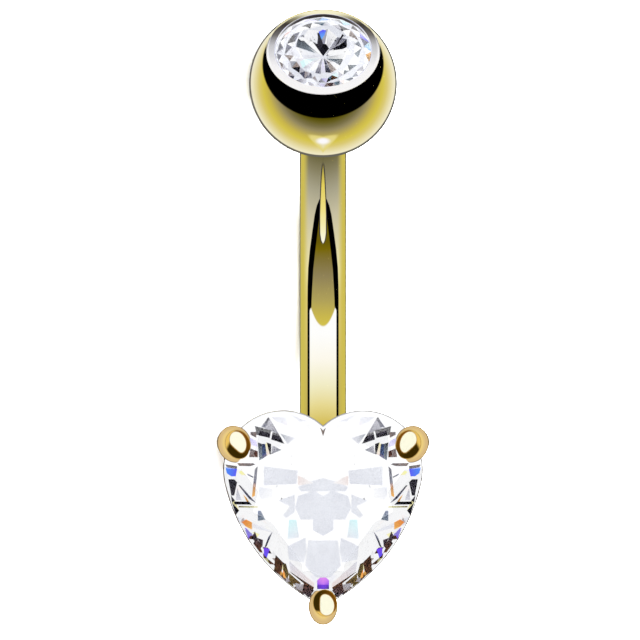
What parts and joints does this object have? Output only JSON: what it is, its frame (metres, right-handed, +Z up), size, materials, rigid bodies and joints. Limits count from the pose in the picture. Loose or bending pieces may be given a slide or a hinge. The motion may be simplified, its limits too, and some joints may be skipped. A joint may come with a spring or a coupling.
{
  "type": "curved barbell",
  "caption": "Gold-coloured curved navel barbell: screw-on ball with a bezel-set round clear stone above, open claw-set heart-shaped clear stone below, lying on its side.",
  "frame": {"origin": "middle of the object's box in X and Y, on the surface that it lies on", "axes": "+X along the object's length, from the ball to the heart; the heart's table faces -Y and leans up; +Z up"},
  "size_m": [0.0206, 0.0082, 0.0068],
  "materials": {
    "gold_plate": "polished gold-coloured plating over steel",
    "clear_stone": "faceted, clear"
  },
  "bodies": {
    "bar": {"curved_bar": "gold_plate", "heart_stone": "clear_stone"},
    "ball": {"threaded_ball": "gold_plate", "round_stone": "clear_stone"}
  },
  "joints": [
    {"name": "ball_unscrew", "type": "slide", "parent": "bar", "child": "ball", "axis": [-0.6396, -0.7068, 0.3024], "range_m": [0, 0.0025]}
  ]
}
